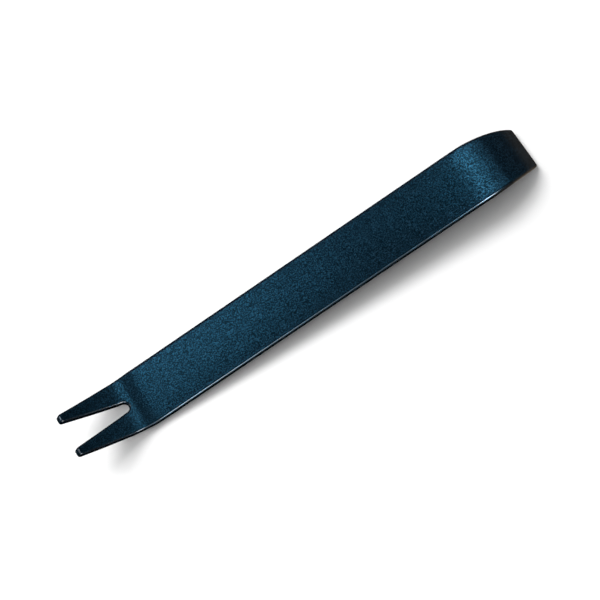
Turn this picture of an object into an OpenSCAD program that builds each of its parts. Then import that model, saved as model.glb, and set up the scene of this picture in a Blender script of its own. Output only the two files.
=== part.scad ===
// One-piece plastic pry bar for lifting interior trim and its push-in clips.
// A flat moulded strip: one end is bent up and split into a two-tined fork,
// the other curls down and narrows to a plain pry edge.
// The bar lies as it comes to rest, on the fork's heel and the pry edge,
// with +X towards the pry edge and the origin under the middle of its box.

/* [Bar] */
// Width of the straight bar
bar_width = 20; // [18:0.5:24]
// Length of the straight bar between its two bends
bar_length = 126.2; // [100:0.2:160]
// Thickness of the strip from end to end
thickness = 3; // [2.4:0.1:4]
// Radius along every edge of the strip
edge_radius = 0.5; // [0.2:0.05:0.6]

/* [Fork] */
// Angle that the fork turns up from the bar in its bend
fork_angle = 34; // [24:1:38]
// Radius of the upper face in the fork's bend
fork_bend_radius = 16; // [14:1:24]
// Further angle that the tines turn up from the bend to their tips
tine_curve = 8; // [1:1:12]
// Length of the fork along its face, from the start of its bend to the tips
fork_length = 28.6; // [28:0.2:36]
// Width over both tips
fork_tip_width = 15; // [14.6:0.2:18]
// Length along the bend before the fork's sides start to narrow
fork_taper_start = 1; // [1:0.5:5]
// Width of the clip notch between the tips
notch_mouth = 9.6; // [8:0.2:10]
// Depth of the clip notch, back from the tips
notch_depth = 22.2; // [18:0.2:24]
// Radius at the root of the clip notch
notch_root_radius = 1.7; // [1.2:0.1:2]
// Radius of the corners at each tip
tip_corner_radius = 0.9; // [0.7:0.05:1]

/* [Pry end] */
// Angle that the pry end curls down from the bar
hook_angle = 60; // [40:1:70]
// Radius of the upper face over the curl
hook_radius = 25; // [18:1:34]
// Width of the pry edge
hook_end_width = 15; // [12:0.2:18]
// Length along the curl before its sides start to narrow
hook_taper_start = 3; // [2:0.5:8]
// How gently the narrowing starts, where 1 is a plain straight taper
hook_taper_ease = 1.4; // [1:0.1:2]
// Radius of the two corners of the pry edge
hook_corner_radius = 1.1; // [0.8:0.1:3]

/* [Hidden] */

round_steps = 4; // facets across each rounded edge
corner_steps = 5; // facets around each corner of the outline
heel_steps = 10; // facets in the fork's bend, up to the notch
root_steps = 8; // facets around half of the notch's root
curl_steps = 24; // facets over the curl
slope = 180 / PI;

fork_arc = fork_bend_radius * fork_angle / slope;
tine_radius = (fork_length - fork_arc) / tine_curve * slope;
hook_arc = hook_radius * hook_angle / slope;
hook_end = bar_length + hook_arc;

function unit(v) = v / norm(v);
function flip(list) = [for (i = [len(list) - 1:-1:0]) list[i]];
function mirrored(list) = [for (p = list) [p[0], -p[1]]];

// Arc of n steps that rounds the corner b of the path a, b, c
function corner(a, b, c, r, n) =
    let (p = unit(a - b), q = unit(c - b), h = acos(p * q) / 2,
         o = b + unit(p + q) * r / sin(h), s = b + p * r / tan(h) - o,
         turn = (180 - 2 * h) * sign(cross(s, q)))
    [for (i = [0:n]) let (t = turn * i / n)
        o + [s[0] * cos(t) - s[1] * sin(t), s[0] * sin(t) + s[1] * cos(t)]];

// The strip is laid out flat: u runs along it, v across it, and w down from
// its upper face. These give half its width beside the fork and the curl.
function fork_half(u) = bar_width / 2 - (bar_width - fork_tip_width) / 2
    * max(0, (-u - fork_taper_start) / (fork_length - fork_taper_start));
function hook_half(u) = bar_width / 2 - (bar_width - hook_end_width) / 2
    * pow(max(0, (u - bar_length - hook_taper_start)
        / (hook_arc - hook_taper_start)), hook_taper_ease);

// Where a point of the flat strip comes to lie once the ends are bent
function bent(u, v, w) =
    u < -fork_arc ? let (a = fork_angle - (u + fork_arc) / tine_radius * slope,
                         c = tine_radius - fork_bend_radius, r = tine_radius + w)
        [c * sin(fork_angle) - r * sin(a), v,
         fork_bend_radius + c * cos(fork_angle) - r * cos(a)]
    : u < 0 ? let (a = -u / fork_bend_radius * slope, r = fork_bend_radius + w)
        [-r * sin(a), v, fork_bend_radius - r * cos(a)]
    : u <= bar_length ? [u, v, -w]
    : let (a = (u - bar_length) / hook_radius * slope, r = hook_radius - w)
        [bar_length + r * sin(a), v, r * cos(a) - hook_radius];

// Rounded edge of the strip, from its upper face to its lower one, as pairs of
// the distance in from the outline and the depth below the upper face
edge = concat(
    [for (i = [0:round_steps]) let (a = 90 * i / round_steps)
        [edge_radius * (1 - sin(a)), edge_radius * (1 - cos(a))]],
    [for (i = [0:round_steps]) let (a = 90 * i / round_steps)
        [edge_radius * (1 - cos(a)), thickness - edge_radius * (1 - sin(a))]]);
rings = len(edge);

// Outline of one tine, out along its side and back along the notch
tip_u = -fork_length;
root_u = notch_depth - fork_length;
root_c = [root_u - notch_root_radius, 0];
mouth = [tip_u, notch_mouth / 2];
tip = [tip_u, fork_tip_width / 2];
notch_half_angle = atan2(mouth[1], root_c[0] - tip_u)
    - asin(notch_root_radius / norm(mouth - root_c));
root_end = root_c + notch_root_radius * [sin(notch_half_angle), cos(notch_half_angle)];
outer_corner = corner([-fork_taper_start, bar_width / 2], tip, mouth,
    tip_corner_radius, corner_steps);
inner_corner = flip(corner(tip, mouth, root_end, tip_corner_radius, corner_steps));
tine_end = outer_corner[0][0];
bend_share = max(0.05, min(0.6, (root_end[0] + fork_arc) / (root_end[0] - tine_end)));
tine_shares = concat([for (i = [1:4]) bend_share * i / 4],
    [for (i = [1:5]) bend_share + (1 - bend_share) * i / 6]);
heel_side = [for (i = [0:heel_steps]) let (u = root_u * i / heel_steps)
    [u, fork_half(u)]];
tine_side = concat(
    [for (i = [1:root_steps]) let (u = root_u + (root_end[0] - root_u) * i / root_steps)
        [u, fork_half(u)]],
    [for (f = tine_shares) let (u = root_end[0] + (tine_end - root_end[0]) * f)
        [u, fork_half(u)]],
    outer_corner);
notch_side = concat(
    [for (i = [1:root_steps]) let (a = (90 - notch_half_angle) * i / root_steps)
        root_c + notch_root_radius * [cos(a), sin(a)]],
    [for (f = tine_shares) root_end + (inner_corner[0] - root_end) * f],
    inner_corner);
tine_rungs = len(tine_side);
fork_side = concat(heel_side, tine_side, flip(notch_side));
fork_outline = concat(fork_side, [[root_u, 0]], flip(mirrored(fork_side)));

// Outline of the curl, out along one side, across the pry edge and back
curl_corner = corner([hook_end - 2, hook_half(hook_end - 2)],
    [hook_end, hook_end_width / 2], [hook_end, 0], hook_corner_radius, corner_steps);
curl_side = concat(
    [for (i = [0:curl_steps - 1])
        let (u = bar_length + (curl_corner[0][0] - bar_length) * i / curl_steps)
        [u, hook_half(u)]],
    curl_corner);
curl_outline = concat(curl_side, flip(mirrored(curl_side)));

// Outward direction at point i of an outline, long enough to keep sides parallel
function side_out(a, b, way) = let (t = unit(b - a)) way * [t[1], -t[0]];
function outward(path, i, way) =
    let (n = len(path), a = side_out(path[max(i - 1, 0)], path[max(i, 1)], way),
         b = side_out(path[min(i, n - 2)], path[min(i + 1, n - 1)], way))
    (a + b) / (1 + a * b);

// All points of a bent end, one ring of its outline for each step of the edge
function bent_points(path, way) =
    let (out = [for (i = [0:len(path) - 1]) outward(path, i, way)])
    [for (e = edge) for (i = [0:len(path) - 1]) let (p = path[i] - e[0] * out[i])
        bent(p[0], p[1], e[1])];

// Closed end of the strip: its edge all round, its two faces and its cut section
module bent_end(points, face, way) {
    n = len(points) / rings;
    faces = concat(
        [for (k = [0:rings - 2]) for (i = [0:n - 2])
            for (f = [[k * n + i, k * n + i + 1, k * n + n + i + 1],
                      [k * n + i, k * n + n + i + 1, k * n + n + i]]) f],
        face,
        [for (f = face) flip([for (i = f) i + (rings - 1) * n])],
        [concat([for (k = [0:rings - 1]) k * n],
                [for (k = [rings - 1:-1:0]) k * n + n - 1])]);
    polyhedron(points = points, faces = [for (f = faces) way > 0 ? f : flip(f)]);
}

fork_points = bent_points(fork_outline, 1);
curl_points = bent_points(curl_outline, -1);

// Up-bent fork: strips across the heel, a fan around the notch's root and
// strips along each tine
module fork_end() {
    n = len(fork_outline);
    h = heel_steps;
    c = (n - 1) / 2;
    bent_end(fork_points, concat(
        [for (i = [0:h - 2]) [i, n - 1 - i, n - 2 - i, i + 1]],
        [[h - 1, c, h], [n - h, n - 1 - h, c], [h - 1, n - h, c]],
        [for (k = [0:tine_rungs - 1]) [h + k, c - k, c - k - 1, h + k + 1]],
        [for (k = [0:tine_rungs - 1])
            [n - 1 - h - k, n - 2 - h - k, c + k + 1, c + k]]), 1);
}

// Straight bar between the bends
module straight_bar() {
    side = [for (e = edge) [bar_width / 2 - e[0], -e[1]]];
    rotate([90, 0, 90])
        linear_extrude(bar_length)
            polygon(concat(side, flip(mirrored_across(side))));
}
function mirrored_across(list) = [for (p = list) [-p[0], p[1]]];

// Down-curled pry end: strips across it all the way to the edge
module curl_end() {
    n = len(curl_outline);
    bent_end(curl_points,
        [for (i = [0:n / 2 - 2]) [i, n - 1 - i, n - 2 - i, i + 1]], -1);
}

// Tilt at which the heel of the fork and the lower edge of the pry end both
// touch the ground: the line under two circles
heel_c = [0, fork_bend_radius];
heel_r = fork_bend_radius + thickness;
edge_p = bent(hook_end - edge_radius, 0, thickness - edge_radius);
edge_c = [edge_p[0], edge_p[2]];
rest_angle = asin((edge_radius - heel_r) / norm(edge_c - heel_c))
    - atan2(edge_c[1] - heel_c[1], edge_c[0] - heel_c[0]);
laid = [for (p = concat(fork_points, curl_points))
    [p[0] * cos(rest_angle) - p[2] * sin(rest_angle),
     p[0] * sin(rest_angle) + p[2] * cos(rest_angle)]];
mid_x = (min([for (p = laid) p[0]]) + max([for (p = laid) p[0]])) / 2;
low_z = min([for (p = laid) p[1]]);

// The whole bar, one moulding
module pry_bar() {
    color([0.07, 0.19, 0.26])
        translate([-mid_x, 0, -low_z])
            rotate([0, -rest_angle, 0])
                union() {
                    fork_end();
                    straight_bar();
                    curl_end();
                }
}

pry_bar();
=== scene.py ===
import math

import bpy
from mathutils import Matrix, Vector


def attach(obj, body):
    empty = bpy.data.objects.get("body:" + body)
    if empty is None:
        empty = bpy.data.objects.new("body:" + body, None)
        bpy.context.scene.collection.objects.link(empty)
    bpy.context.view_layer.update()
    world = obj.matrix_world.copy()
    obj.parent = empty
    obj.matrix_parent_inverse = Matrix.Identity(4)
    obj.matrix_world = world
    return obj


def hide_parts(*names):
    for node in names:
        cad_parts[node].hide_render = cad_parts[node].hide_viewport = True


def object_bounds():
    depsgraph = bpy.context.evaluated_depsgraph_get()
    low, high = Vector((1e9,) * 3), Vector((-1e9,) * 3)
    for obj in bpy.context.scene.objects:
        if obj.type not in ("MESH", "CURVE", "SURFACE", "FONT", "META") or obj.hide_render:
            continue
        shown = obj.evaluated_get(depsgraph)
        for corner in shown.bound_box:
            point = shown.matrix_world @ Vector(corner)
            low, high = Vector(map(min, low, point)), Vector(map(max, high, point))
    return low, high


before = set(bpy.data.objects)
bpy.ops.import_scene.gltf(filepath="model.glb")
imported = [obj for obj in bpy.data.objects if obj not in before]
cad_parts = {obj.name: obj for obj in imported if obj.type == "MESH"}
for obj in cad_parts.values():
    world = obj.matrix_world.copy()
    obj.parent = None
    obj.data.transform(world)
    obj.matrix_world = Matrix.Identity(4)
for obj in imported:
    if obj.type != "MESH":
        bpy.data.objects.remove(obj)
cad_lo, cad_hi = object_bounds()
scene = bpy.context.scene
MM = 0.001

# ---------------------------------------------------------------- dimensions
# The strip's own numbers in millimetres, as in the part's source.
WIDTH, BAR, THICK, EDGE = 20.0, 126.2, 3.0, 0.5
ROUND = 0.85  # room that the rounded edge takes at the notch
CROWN = 0.12  # rise of the bar's upper face from its sides to its middle
FORK_ANGLE, FORK_R, FORK_LEN = math.radians(34.0), 16.0, 28.6
TINE_CURVE = math.radians(8.0)
TIP_WIDTH, FORK_TAPER, TIP_CORNER = 15.0, 1.0, 0.9
MOUTH, NOTCH, ROOT_R = 9.6, 22.2, 1.7
HOOK_ANGLE, HOOK_R = math.radians(60.0), 25.0
END_WIDTH, HOOK_TAPER, HOOK_EASE, END_CORNER = 15.0, 3.0, 1.4, 1.1

FORK_ARC = FORK_R * FORK_ANGLE
TINE_R = (FORK_LEN - FORK_ARC) / TINE_CURVE
HOOK_ARC = HOOK_R * HOOK_ANGLE
HOOK_END = BAR + HOOK_ARC
TIP_U = -FORK_LEN
ROOT_U = NOTCH - FORK_LEN
ROOT_C = ROOT_U - ROOT_R


def fork_half(u):
    return WIDTH / 2 - (WIDTH - TIP_WIDTH) / 2 * max(0.0, (-u - FORK_TAPER) / (FORK_LEN - FORK_TAPER))


def hook_half(u):
    f = max(0.0, (u - BAR - HOOK_TAPER) / (HOOK_ARC - HOOK_TAPER))
    return WIDTH / 2 - (WIDTH - END_WIDTH) / 2 * f ** HOOK_EASE


def crown(u):
    """Rise of the upper face at u, none at the bends."""
    return CROWN * max(0.0, min(1.0, (u + 1.0) / 6.0, (BAR - 4.0 - u) / 12.0))


def round_at(u):
    """Radius of the edge at u: rubbed rounder along the bar, finer on the tines and at the pry edge."""
    return 0.6 + 0.4 * max(0.0, min(1.0, (u + 9.0) / 9.0, (HOOK_END - u) / 18.0))


def half(u):
    return hook_half(u) if u > BAR else fork_half(u)


# The fork's bend: a crease, an easier stretch and then the rest of the turn, as
# pairs of the distance into the bend and the angle reached there.
BEND = [(-1.2, 0.0), (0.8, 8.5), (4.0, 12.0), (7.9, 27.5), (FORK_ARC, 34.0)]


def crease(d):
    for (d0, a0), (d1, a1) in zip(BEND, BEND[1:]):
        if d <= d1:
            return math.radians(a0 + (a1 - a0) * (d - d0) / (d1 - d0))
    return FORK_ANGLE


def arc_turn(u):
    """Angle by which the strip has turned at u: its two bends and the tines' slow curve."""
    if u < -FORK_ARC:
        return FORK_ANGLE - (u + FORK_ARC) / TINE_R
    if u < -BEND[0][0]:
        return crease(-u)
    return max(0.0, u - BAR) / HOOK_R


def eased_turn(u):
    """The same with the start of the curl and the end of the fork's bend smoothed."""
    w = 4.0 if u > BAR / 2 else 1.0
    n = 16
    return sum(arc_turn(u + w * ((k + 0.5) / n * 2 - 1)) for k in range(n)) / n


# The middle line of the strip, added up from its turn in short steps.
STEP = 0.05
N_STEP = int(round((HOOK_END + 1.0 + FORK_LEN + 1.0) / STEP))
LINE_U0 = -FORK_LEN - 1.0
turns = [eased_turn(LINE_U0 + k * STEP) for k in range(N_STEP + 1)]
spine = [(0.0, 0.0)]
for k in range(N_STEP):
    u = LINE_U0 + (k + 0.5) * STEP
    a = (turns[k] + turns[k + 1]) / 2
    spine.append((spine[-1][0] + STEP * math.cos(a),
                 spine[-1][1] - STEP * math.sin(a)))
k0 = int(round((BAR / 2 - LINE_U0) / STEP))
x0, z0 = spine[k0][0] - (LINE_U0 + k0 * STEP), spine[k0][1]
spine = [(p[0] - x0, p[1] - z0) for p in spine]


def at(u):
    f = min(max((u - LINE_U0) / STEP, 0.0), N_STEP - 1e-6)
    return int(f), f - int(f)


def lean(u):
    """Angle by which the strip has turned at u."""
    k, f = at(u)
    return turns[k] + (turns[k + 1] - turns[k]) * f


def bent(u, v, w):
    k, f = at(u)
    a = turns[k] + (turns[k + 1] - turns[k]) * f
    x = spine[k][0] + (spine[k + 1][0] - spine[k][0]) * f
    z = spine[k][1] + (spine[k + 1][1] - spine[k][1]) * f
    return (x - w * math.sin(a), v, z - w * math.cos(a))


# The strip lies on the fork's heel and the lower edge of the pry end.
edge_at = bent(HOOK_END - EDGE, 0.0, THICK - EDGE)
dx, dz = edge_at[0], edge_at[2] - FORK_R
REST = math.asin((EDGE - FORK_R - THICK) / math.hypot(dx, dz)) - math.atan2(dz, dx)
CR, SR = math.cos(REST), math.sin(REST)


def turned(p):
    return (p[0] * CR - p[2] * SR, p[1], p[0] * SR + p[2] * CR)


def corner(a, b, c, r, n):
    """n steps of the arc that rounds corner b of the path a, b, c."""
    a, b, c = Vector(a), Vector(b), Vector(c)
    p, q = (a - b).normalized(), (c - b).normalized()
    h = p.angle(q) / 2
    o = b + (p + q).normalized() * (r / math.sin(h))
    s = b + p * (r / math.tan(h)) - o
    e = b + q * (r / math.tan(h)) - o
    turn = math.atan2(s.x * e.y - s.y * e.x, s.dot(e))
    out = []
    for i in range(n + 1):
        t = turn * i / n
        out.append((o.x + s.x * math.cos(t) - s.y * math.sin(t), o.y + s.x * math.sin(t) + s.y * math.cos(t)))
    return out


# ---------------------------------------------------------------- outline and rows
# One half of the strip laid flat, v >= 0. COLS are the shares of a row, from
# the outer side to the middle of the bar or the side of the notch.
COLS = [0.0, 0.035, 0.09, 0.17, 0.28, 0.42, 0.58, 0.72, 0.83, 0.91, 0.965, 1.0]
NC = len(COLS) - 1
FILLET = 9      # steps in each rounded edge
N_CORNER = 10   # steps round each corner of the outline
N_ROOT = 26     # steps round half of the notch's root

mouth_p, tip_p = (TIP_U, MOUTH / 2), (TIP_U, TIP_WIDTH / 2)
notch_half = math.atan2(mouth_p[1], ROOT_C - TIP_U) - math.asin(
    ROOT_R / math.hypot(mouth_p[0] - ROOT_C, mouth_p[1]))
root_end = (ROOT_C + ROOT_R * math.sin(notch_half), ROOT_R * math.cos(notch_half))
outer_arc = corner((-FORK_TAPER, WIDTH / 2), tip_p, mouth_p, TIP_CORNER, N_CORNER)
inner_arc = corner(tip_p, mouth_p, root_end, TIP_CORNER, N_CORNER)
end_arc = corner((HOOK_END - 2, hook_half(HOOK_END - 2)), (HOOK_END, END_WIDTH / 2),
                 (HOOK_END, 0.0), END_CORNER, N_CORNER)

side, notch, rows = [], [], []   # outline points; rows pair them up


def put(store, p):
    store.append(p)
    return len(store) - 1


# Tine, from the tip inwards: its end, its two corners, its straight sides, the root.
for i in range(N_CORNER + 1):
    rows.append((put(side, outer_arc[N_CORNER - i]), put(notch, inner_arc[i])))
steps = 34
base_u = ROOT_C + (ROOT_R + ROUND) * math.sin(notch_half)
for i in range(1, steps):
    f = i / steps
    ou = outer_arc[0][0] + (base_u - outer_arc[0][0]) * f
    p, q = inner_arc[N_CORNER], root_end
    rows.append((put(side, (ou, fork_half(ou))),
                 put(notch, (p[0] + (q[0] - p[0]) * f, p[1] + (q[1] - p[1]) * f))))
for i in range(N_ROOT + 1):
    a = (math.pi / 2 - notch_half) * (1 - i / N_ROOT)
    ou = ROOT_C + (ROOT_R + ROUND) * math.cos(a)
    rows.append((put(side, (ou, fork_half(ou))),
                 put(notch, (ROOT_C + ROOT_R * math.cos(a), ROOT_R * math.sin(a)))))
TINE_ROWS = len(rows)
# Heel, bar and curl: rows that end on the middle line.
us = []
heel_from = ROOT_U + ROUND + 0.12
for i in range(24):
    us.append(heel_from * (1 - i / 24))
for i in range(44):
    us.append(BAR * i / 44)
curl_to = end_arc[0][0]
for i in range(72):
    us.append(BAR + (curl_to - BAR) * i / 72)
for u in us:
    rows.append((put(side, (u, half(u))), None))
for p in end_arc:
    rows.append((put(side, p), None))
LAST = len(rows) - 1

# The half outline as one path, from the middle of the pry edge to the notch's root.
path, side_at, notch_at, tip_at, end_at = [], {}, {}, {}, {}
end_v = end_arc[-1][1]
for i in range(NC, 0, -1):
    end_at[i] = len(path)
    path.append((HOOK_END, end_v * (1 - COLS[i])))
for k in range(len(side) - 1, -1, -1):
    side_at[k] = len(path)
    path.append(side[k])
v0, v1 = outer_arc[-1][1], inner_arc[0][1]
for i in range(1, NC):
    tip_at[i] = len(path)
    path.append((TIP_U, v0 + (v1 - v0) * COLS[i]))
for k in range(len(notch)):
    notch_at[k] = len(path)
    path.append(notch[k])
end_at[0] = side_at[rows[LAST][0]]
tip_at[0], tip_at[NC] = side_at[rows[0][0]], notch_at[rows[0][1]]


def outward(i):
    """Outward direction at point i of the path, long enough to keep sides parallel."""
    pts = [path[max(i - 1, 0)], path[i], path[min(i + 1, len(path) - 1)]]
    if i == 0:
        return (1.0, 0.0)
    if i == len(path) - 1:
        return (-1.0, 0.0)
    ns = []
    for a, b in ((pts[0], pts[1]), (pts[1], pts[2])):
        d = math.hypot(b[0] - a[0], b[1] - a[1])
        ns.append(((b[1] - a[1]) / d, -(b[0] - a[0]) / d))
    c = 1 + ns[0][0] * ns[1][0] + ns[0][1] * ns[1][1]
    return ((ns[0][0] + ns[1][0]) / c, (ns[0][1] + ns[1][1]) / c)


outs = [outward(i) for i in range(len(path))]
# inset and depth as shares of the edge's radius, depth as a share of the thickness,
# and the upward and outward shares of the normal, round the edge
ring = []
for i in range(FILLET + 1):
    a = math.pi / 2 * i / FILLET
    ring.append((1 - math.sin(a), 1 - math.cos(a), 0.0, math.cos(a), math.sin(a)))
ring.append((0.0, 0.0, 0.5, 0.0, 1.0))
for i in range(FILLET + 1):
    a = math.pi / 2 * i / FILLET
    ring.append((1 - math.cos(a), math.sin(a) - 1, 1.0, -math.sin(a), math.cos(a)))
RINGS = len(ring)

# ---------------------------------------------------------------- mesh
verts, norms, rims, flat = [], [], [], []
mirror = {}


def vertex(u, v, w, nu, nv, nup, rim):
    a = lean(u)
    t, up = (math.cos(a), -math.sin(a)), (math.sin(a), math.cos(a))
    n = Vector(turned((nu * t[0] + nup * up[0], nv, nu * t[1] + nup * up[1]))).normalized()
    verts.append(turned(bent(u, v, w)))
    norms.append(n)
    rims.append(rim)
    flat.append((u, v))
    return len(verts) - 1


def both(u, v, w, nu, nv, nup, rim):
    k = vertex(u, v, w, nu, nv, nup, rim)
    mirror[k] = k if abs(v) < 1e-9 else vertex(u, -v, w, nu, -nv, nup, rim)
    return k


edge_id = []
for e, d, share, nup, nout in ring:
    line = []
    for p, o in zip(path, outs):
        l = math.hypot(o[0], o[1])
        r = round_at(p[0])
        line.append(both(p[0] - r * e * o[0], p[1] - r * e * o[1], share * THICK + r * d,
                         nout * o[0] / l, nout * o[1] / l, nup, min(1.0, 2.2 * nout)))
    edge_id.append(line)

faces = []


def quad(a, b, c, d):
    f = [k for i, k in enumerate((a, b, c, d)) if k not in (a, b, c, d)[:i]]
    if len(f) > 2:
        faces.append(f)
        faces.append([mirror[k] for k in reversed(f)])


for k in range(RINGS - 1):
    for i in range(len(path) - 1):
        quad(edge_id[k][i], edge_id[k + 1][i], edge_id[k + 1][i + 1], edge_id[k][i + 1])

for level, w, up in ((0, 0.0, 1.0), (RINGS - 1, THICK, -1.0)):
    ids = edge_id[level]
    inset = ring[level][0]
    grid = []
    for j, (so, no) in enumerate(rows):
        if j == 0:
            grid.append([ids[tip_at[i]] for i in range(NC + 1)])
            continue
        if j == LAST:
            grid.append([ids[end_at[i]] for i in range(NC + 1)])
            continue
        po, oo = path[side_at[so]], outs[side_at[so]]
        r = inset * round_at(po[0])
        a = (po[0] - r * oo[0], po[1] - r * oo[1])
        if no is None:
            b, last = (a[0], 0.0), None
        else:
            pn, on = path[notch_at[no]], outs[notch_at[no]]
            r = inset * round_at(pn[0])
            b, last = (pn[0] - r * on[0], pn[1] - r * on[1]), ids[notch_at[no]]
        line = [ids[side_at[so]]]
        for i in range(1, NC + 1):
            if i == NC and last is not None:
                line.append(last)
                continue
            f = COLS[i]
            near = f if no is None else min(f, 1 - f)
            v = 0.0 if i == NC else a[1] + (b[1] - a[1]) * f
            c = crown(a[0]) if up > 0 else 0.0
            line.append(both(a[0] + (b[0] - a[0]) * f, v, w - c * (1 - (v / a[1]) ** 2),
                             0.0, 2 * c * v / a[1] ** 2, up, max(0.0, 0.45 - near * 10)))
        grid.append(line)
    for j in range(LAST):
        for i in range(NC):
            c = (grid[j][i], grid[j][i + 1], grid[j + 1][i + 1], grid[j + 1][i])
            quad(*(c if up > 0 else reversed(c)))

# Centre the strip over the origin, stand it on the ground and keep it just
# inside the part's box.
lows = [min(p[i] for p in verts) for i in range(3)]
highs = [max(p[i] for p in verts) for i in range(3)]
mid_x, low_z = (lows[0] + highs[0]) / 2, lows[2]
SLACK = 0.000002
fit_x = (cad_hi[0] - cad_lo[0] - SLACK) / ((highs[0] - lows[0]) * MM)
fit_y = (cad_hi[1] - cad_lo[1] - SLACK) / ((highs[1] - lows[1]) * MM)
fit_z = (cad_hi[2] - cad_lo[2] - SLACK) / ((highs[2] - lows[2]) * MM)
verts = [((p[0] - mid_x) * MM * fit_x, p[1] * MM * fit_y,
          (p[2] - low_z) * MM * fit_z + cad_lo[2] + SLACK / 2) for p in verts]

me = bpy.data.meshes.new("pry_bar_skin")
me.from_pydata(verts, [], faces)
me.validate()
me.update()
for poly in me.polygons:
    poly.use_smooth = True
me.normals_split_custom_set_from_vertices([tuple(n) for n in norms])
rim = me.attributes.new("rim", "FLOAT", "POINT")
rim.data.foreach_set("value", rims)
# Place along and across the flat strip, in millimetres; the material reads the
# place along it to make the fork a little duller than the bar.
lay = me.attributes.new("lay", "FLOAT_VECTOR", "POINT")
lay.data.foreach_set("vector", [c for p in flat for c in (p[0], p[1], 0.0)])
bar = bpy.data.objects.new("pry_bar_skin", me)
scene.collection.objects.link(bar)


# ---------------------------------------------------------------- material
class Tree:
    """Short hand for building a node tree."""

    def __init__(self, material):
        material.use_nodes = True
        self.nodes, self.links = material.node_tree.nodes, material.node_tree.links
        self.nodes.clear()

    def add(self, kind, inputs=None, **props):
        n = self.nodes.new(kind)
        for k, v in props.items():
            setattr(n, k, v)
        for k, v in (inputs or {}).items():
            self.put(n, k, v)
        return n

    def put(self, node, key, value):
        if isinstance(value, bpy.types.NodeSocket):
            self.links.new(value, node.inputs[key])
        else:
            node.inputs[key].default_value = value

    def noise(self, at, scale, detail=2.0, rough=0.5, lift=0.0):
        n = self.add("ShaderNodeTexNoise", {"Vector": at, "Scale": scale, "Detail": detail,
                                            "Roughness": rough, "Distortion": lift})
        return n.outputs["Fac"]

    def span(self, value, a, b, c, d):
        n = self.add("ShaderNodeMapRange", {"Value": value, "From Min": a, "From Max": b,
                                            "To Min": c, "To Max": d}, clamp=True)
        return n.outputs["Result"]

    def math(self, op, a, b=0.0):
        n = self.add("ShaderNodeMath", {0: a, 1: b}, operation=op)
        return n.outputs[0]


plastic = bpy.data.materials.new("moulded_plastic")
t = Tree(plastic)
coord = t.add("ShaderNodeTexCoord").outputs["Object"]
rim_at = t.add("ShaderNodeAttribute", attribute_name="rim").outputs["Fac"]

grain = t.noise(coord, 2550.0, 1.0, 0.6)
pebble = t.noise(coord, 900.0, 1.0, 0.5, 0.4)
cloud = t.noise(coord, 130.0, 3.0, 0.55)
sway = t.noise(coord, 38.0, 2.0, 0.5)

# colour: near-black blue, speckled by the grain and clouded a little
speck = t.add("ShaderNodeValToRGB", {"Fac": grain})
ramp = speck.color_ramp
ramp.elements[0].position, ramp.elements[0].color = 0.43, (0.0006, 0.0026, 0.0048, 1)
ramp.elements[1].position, ramp.elements[1].color = 0.72, (0.0068, 0.0205, 0.0355, 1)
clouded = t.add("ShaderNodeMix", {"Factor": t.span(cloud, 0.35, 0.7, 0.0, 0.35)}, data_type="RGBA")
t.put(clouded, 6, speck.outputs["Color"])
clouded.inputs[7].default_value = (0.0018, 0.0062, 0.0112, 1)
# edges rubbed a little lighter, broken up by the grain
rub = t.math("MULTIPLY", rim_at, t.span(t.noise(coord, 420.0, 3.0, 0.6), 0.45, 0.75, 0.0, 0.5))
worn = t.add("ShaderNodeMix", {"Factor": rub}, data_type="RGBA")
t.put(worn, 6, clouded.outputs[2])
worn.inputs[7].default_value = (0.012, 0.026, 0.036, 1)

rough = t.add("ShaderNodeMath", {0: t.span(grain, 0.43, 0.62, 0.25, 0.15),
                                 1: t.span(cloud, 0.3, 0.7, -0.015, 0.015)}, operation="ADD").outputs[0]
rough = t.math("MULTIPLY", rough, t.span(rim_at, 0.2, 1.0, 1.0, 0.6))

bump = t.add("ShaderNodeBump", {"Height": sway, "Strength": 1.0, "Distance": 0.00004})
bump = t.add("ShaderNodeBump", {"Height": pebble, "Strength": 1.0, "Distance": 0.000020,
                                "Normal": bump.outputs["Normal"]})
bump = t.add("ShaderNodeBump", {"Height": grain, "Strength": 1.0, "Distance": 0.000040,
                                "Normal": bump.outputs["Normal"]})

# the high spots of the grain and the rubbed edges shine, and the fork is a little
# duller than the bar
along = t.add("ShaderNodeSeparateXYZ", {0: t.add("ShaderNodeAttribute", attribute_name="lay").outputs["Vector"]}).outputs["X"]
shine = t.math("MULTIPLY", t.span(grain, 0.44, 0.70, 0.11, 0.62), t.span(along, -7.0, -2.5, 0.54, 1.0))
shine = t.math("MULTIPLY", shine, t.span(rim_at, 0.2, 1.0, 1.0, 1.6))
# the turn of each edge is polished by handling
polish = t.math("MULTIPLY", t.span(rim_at, 0.2, 1.0, 0.0, 1.0), t.span(cloud, 0.3, 0.7, 0.8, 1.0))

shader = t.add("ShaderNodeBsdfPrincipled", {
    "Base Color": worn.outputs[2], "Roughness": rough, "Normal": bump.outputs["Normal"],
    "Specular IOR Level": shine, "Specular Tint": (0.13, 0.58, 1.0, 1.0), "IOR": 1.5,
    "Coat Weight": polish, "Coat Roughness": 0.16})
out = t.add("ShaderNodeOutputMaterial")
t.links.new(shader.outputs["BSDF"], out.inputs["Surface"])
me.materials.append(plastic)

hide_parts("pry_bar")
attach(bar, "root")

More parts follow.
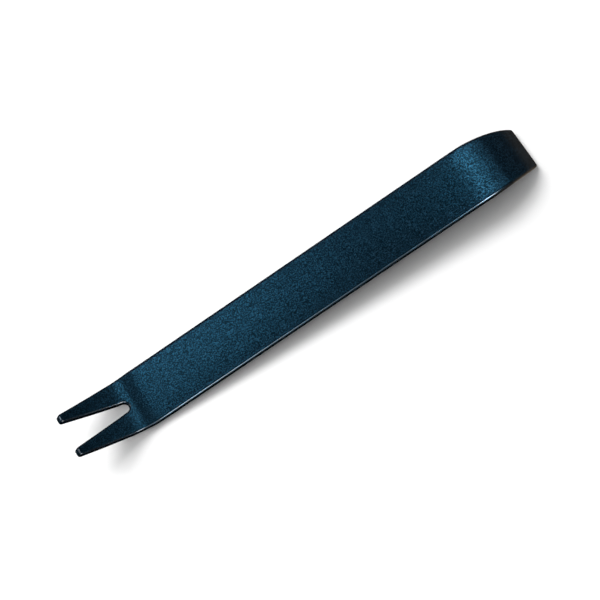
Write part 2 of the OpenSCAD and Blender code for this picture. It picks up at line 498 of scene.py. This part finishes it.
# ---------------------------------------------------------------- floor
fm = bpy.data.meshes.new("floor")
fm.from_pydata([(-4, -4, 0), (4, -4, 0), (4, 4, 0), (-4, 4, 0)], [], [(0, 1, 2, 3)])
floor = bpy.data.objects.new("floor", fm)
scene.collection.objects.link(floor)
pale = bpy.data.materials.new("pale_floor")
t = Tree(pale)
coord = t.add("ShaderNodeTexCoord").outputs["Object"]
tone = t.add("ShaderNodeValToRGB", {"Fac": t.noise(coord, 30.0, 3.0)})
tone.color_ramp.elements[0].color = (0.87, 0.87, 0.87, 1)
tone.color_ramp.elements[1].color = (0.91, 0.91, 0.91, 1)
shader = t.add("ShaderNodeBsdfPrincipled", {"Base Color": tone.outputs["Color"], "Roughness": 0.9,
                                            "Specular IOR Level": 0.0})
out = t.add("ShaderNodeOutputMaterial")
t.links.new(shader.outputs["BSDF"], out.inputs["Surface"])
fm.materials.append(pale)
floor.visible_glossy = False


# ---------------------------------------------------------------- light
def lamp(name, at, aim, size, level, tint=(1, 1, 1), soft=True, shine=True):
    """A flat panel of light. level is its brightness, where 1 is white paper in the picture."""
    data = bpy.data.lights.new(name, "AREA")
    data.shape = "RECTANGLE"
    data.size, data.size_y = size
    data.energy = level * 4.0 * size[0] * size[1]
    data.color = tint
    ob = bpy.data.objects.new(name, data)
    ob.location = at
    ob.rotation_euler = (Vector(aim) - Vector(at)).to_track_quat("-Z", "Y").to_euler()
    ob.visible_camera = False
    ob.visible_diffuse = soft
    ob.visible_glossy = shine
    scene.collection.objects.link(ob)
    return ob


def ceiling(name, x0, x1, y0, y1, z, level, tint=(1, 1, 1)):
    """A level panel overhead that only shows as a sheen."""
    ob = lamp(name, ((x0 + x1) / 2, (y0 + y1) / 2, z), ((x0 + x1) / 2, (y0 + y1) / 2 + 1e-6, 0), (x1 - x0, y1 - y0), level, tint, soft=False)
    ob.rotation_euler = (0, 0, 0)
    return ob


# keys and fill for the floor and its shadow
lamp("key", (-0.45, 1.80, 2.85), (0, 0, 0), (1.2, 1.2), 9.4, shine=False)
lamp("low_key", (-1.05, 2.10, 2.00), (0, 0, 0), (1.3, 1.3), 8.6, shine=False)
lamp("side_key", (-2.95, 0.90, 1.75), (0, 0, 0), (1.3, 1.3), 6.5, shine=False)
lamp("fill", (0.0, 0.0, 2.4), (0, 0, 0), (3.6, 3.6), 0.74, shine=False)
# sheen: two soft overhead panels with a dim gap between them, each fading outwards
ceiling("left_panel", -0.66, -0.20, 0.18, 0.43, 1.0, 4.6)
ceiling("left_panel_edge", -0.20, -0.12, 0.18, 0.43, 1.0, 2.5)
ceiling("gap_panel", -0.12, 0.17, 0.21, 0.43, 1.0, 0.45)
ceiling("right_panel", 0.17, 0.36, 0.165, 0.42, 1.0, 9.7)
ceiling("right_panel_middle", 0.36, 0.66, 0.165, 0.42, 1.0, 6.2)
ceiling("right_panel_far", 0.66, 1.20, 0.10, 0.40, 1.0, 2.2)
# upright panels on the near side, for a line of light along the rounded edges
for name, x0, x1, level in (("edge_panel_left", -0.70, -0.31, 11.5), ("edge_panel_inner", -0.31, -0.17, 4.2),
                            ("edge_panel_middle", -0.17, 0.10, 1.5), ("edge_panel_right", 0.15, 0.54, 20.0),
                            ("edge_panel_far", 0.54, 0.78, 2.6)):
    lamp(name, ((x0 + x1) / 2, -0.90, 0.95), ((x0 + x1) / 2, 0.0, 0.95), (x1 - x0, 0.70), level, soft=False)
# dim walls all round, for the sheen that low views see
for name, x, y, level in (("wall_near", 0.0, -2.6, 0.30), ("wall_far", 0.0, 2.6, 0.30), ("wall_left", -2.6, 0.0, 0.30),
                          ("wall_right", 2.6, 0.0, 0.16)):
    lamp(name, (x, y, 0.85), (0.0, 0.0, 0.85), (4.4, 1.3), level, soft=False)
# light from the paper in front of the pry end
for name, x0, x1, level in (("paper_near", 0.09, 0.22, 0.24), ("paper_middle", 0.22, 0.50, 0.44),
                            ("paper_far", 0.50, 1.20, 0.36)):
    ob = ceiling(name, x0, x1, -0.2, 0.40, -0.05, level, (0.60, 0.46, 0.34))
    ob.rotation_euler = (math.pi, 0, 0)

world = bpy.data.worlds.new("studio")
scene.world = world
world.use_nodes = True
world.node_tree.nodes["Background"].inputs["Color"].default_value = (0.93, 0.93, 0.93, 1)
world.node_tree.nodes["Background"].inputs["Strength"].default_value = 1.0
world.cycles_visibility.diffuse = False
world.cycles_visibility.glossy = False

# ---------------------------------------------------------------- camera
cam = bpy.data.cameras.new("camera")
cam.sensor_width, cam.lens = 36.0, 64.8108
cam.clip_start, cam.clip_end = 0.01, 20.0
eye = bpy.data.objects.new("camera", cam)
eye.location = (0.004976, -0.074388, 0.348453)
eye.rotation_euler = tuple(math.radians(a) for a in (9.4329, 7.3112, -32.5259))
scene.collection.objects.link(eye)
scene.camera = eye

scene.view_settings.view_transform = "Standard"
scene.view_settings.look = "None"
